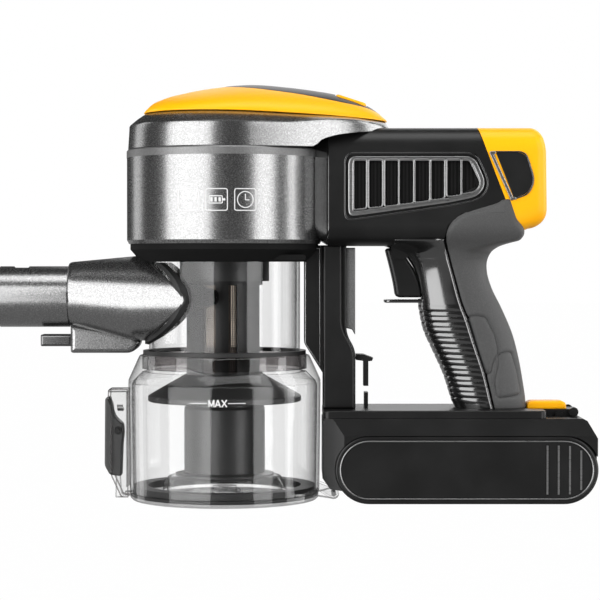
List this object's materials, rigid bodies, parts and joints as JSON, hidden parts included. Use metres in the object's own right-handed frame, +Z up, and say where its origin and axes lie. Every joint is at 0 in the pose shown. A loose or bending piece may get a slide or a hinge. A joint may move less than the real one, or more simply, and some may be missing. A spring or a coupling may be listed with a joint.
{
  "type": "handheld vacuum",
  "caption": "Cordless handheld vacuum: motor head with a domed cap over a clear cyclone bin, side inlet tube, pistol grip with trigger, and a slide-on battery foot.",
  "frame": {"origin": "centre of the bin lid's underside, on the cyclone's axis, at the level the tool stands on", "axes": "+X from the inlet side towards the handle and battery, +Z up along the cyclone's axis, -Y towards the side shown in front"},
  "size_m": [0.3934, 0.1298, 0.2737],
  "materials": {
    "black_gloss": "gloss black moulding",
    "black_satin": "satin black moulding",
    "board": "circuit board",
    "brass": "contact metal",
    "cell_wrap": "shrink-wrapped cells",
    "clear": "clear polycarbonate",
    "foam": "filter medium",
    "graphite": "dark gunmetal moulding with a fine metallic fleck",
    "light_trim": "lighter grey trim band",
    "mesh": "woven steel screen",
    "seal_black": "black sealing rubber",
    "silver_trim": "bright plated trim",
    "smoked": "smoked polycarbonate",
    "soft_grey": "grained soft-touch grip",
    "steel": "steel",
    "white_pa": "white nylon",
    "yellow": "glossy amber yellow moulding"
  },
  "bodies": {
    "main_body": {"motor_housing": "graphite", "trim_band": "light_trim", "upper_housing": "graphite", "bayonet_collar": "black_gloss", "motor_cradle": "black_satin", "motor_can": "steel", "motor_board": "board", "filter_pad": "foam", "handle_shell_left": "black_satin", "handle_shell_right": "black_satin", "rear_cap": "yellow", "rear_panels": "black_satin", "vent_grilles": "silver_trim", "exhaust_filter": "foam", "barrel_collar": "black_gloss", "grip_front": "black_gloss", "grip_back": "soft_grey", "trigger_mount": "black_satin", "trigger_switch": "white_pa", "spine_shell": "black_satin", "spine_strip": "light_trim", "dock_hook": "black_satin", "foot_plate": "black_satin", "battery_contacts": "brass", "case_screws": "steel"},
    "impeller": {"impeller": "white_pa", "motor_shaft": "steel"},
    "trigger": {"trigger": "black_gloss"},
    "top_cover": {"top_cap": "yellow", "cap_stripe": "black_gloss"},
    "cap_button": {"cap_button": "yellow"},
    "battery": {"battery_case": "black_satin", "battery_covers": "black_satin", "battery_ribs": "silver_trim", "battery_cells": "cell_wrap", "cell_holders": "black_satin", "battery_board": "board", "battery_clip": "black_satin"},
    "battery_button": {"battery_button": "yellow"},
    "bin": {"upper_chamber": "clear", "chamber_seal": "seal_black", "smoked_ring": "smoked", "dust_cup": "clear", "hinge_pin": "steel", "inlet_housing": "graphite", "inlet_gasket": "seal_black", "inlet_tube": "graphite", "contact_block": "black_satin", "contact_plug": "black_satin", "cyclone_collar": "black_satin", "cyclone_frame": "black_satin", "cyclone_screen": "mesh", "cyclone_skirt": "black_satin", "cyclone_cone": "black_satin", "latch_housing": "clear", "latch_pin": "steel"},
    "bin_lid": {"bin_lid": "clear", "lid_gasket": "seal_black"},
    "bin_latch": {"bin_latch": "black_satin"}
  },
  "joints": [
    {"name": "trigger_pull", "type": "hinge", "parent": "main_body", "child": "trigger", "pos_m": [0.1155, 0, 0.1634], "axis": [0, -1, 0], "range_deg": [0, 8], "stiffness_Nm_per_rad": 0.35, "springref_deg": -8.59},
    {"name": "impeller_spin", "type": "hinge", "parent": "main_body", "child": "impeller", "pos_m": [0, 0, 0.18], "axis": [0, 0, 1], "continuous": true},
    {"name": "top_cover_lift", "type": "slide", "parent": "main_body", "child": "top_cover", "axis": [0, 0, 1], "range_m": [0, 0.06]},
    {"name": "cap_button_press", "type": "slide", "parent": "top_cover", "child": "cap_button", "axis": [-0.2756, 0, -0.9613], "range_m": [0, 0.0015], "stiffness_N_per_m": 900, "springref_m": -0.001},
    {"name": "battery_slide", "type": "slide", "parent": "main_body", "child": "battery", "axis": [1, 0, 0], "range_m": [0, 0.18]},
    {"name": "battery_button_press", "type": "slide", "parent": "battery", "child": "battery_button", "axis": [0, 0, -1], "range_m": [0, 0.002], "stiffness_N_per_m": 1200, "springref_m": -0.001},
    {"name": "bin_drop", "type": "slide", "parent": "main_body", "child": "bin", "axis": [0, 0, -1], "range_m": [0, 0.17]},
    {"name": "lid_hinge", "type": "hinge", "parent": "bin", "child": "bin_lid", "pos_m": [0.0727, 0, 0.0033], "axis": [0, -1, 0], "range_deg": [0, 90]},
    {"name": "latch_rock", "type": "hinge", "parent": "bin", "child": "bin_latch", "pos_m": [-0.0706, 0, 0.0455], "axis": [0, 1, 0], "range_deg": [0, 8], "stiffness_Nm_per_rad": 0.4, "springref_deg": -11.46}
  ]
}
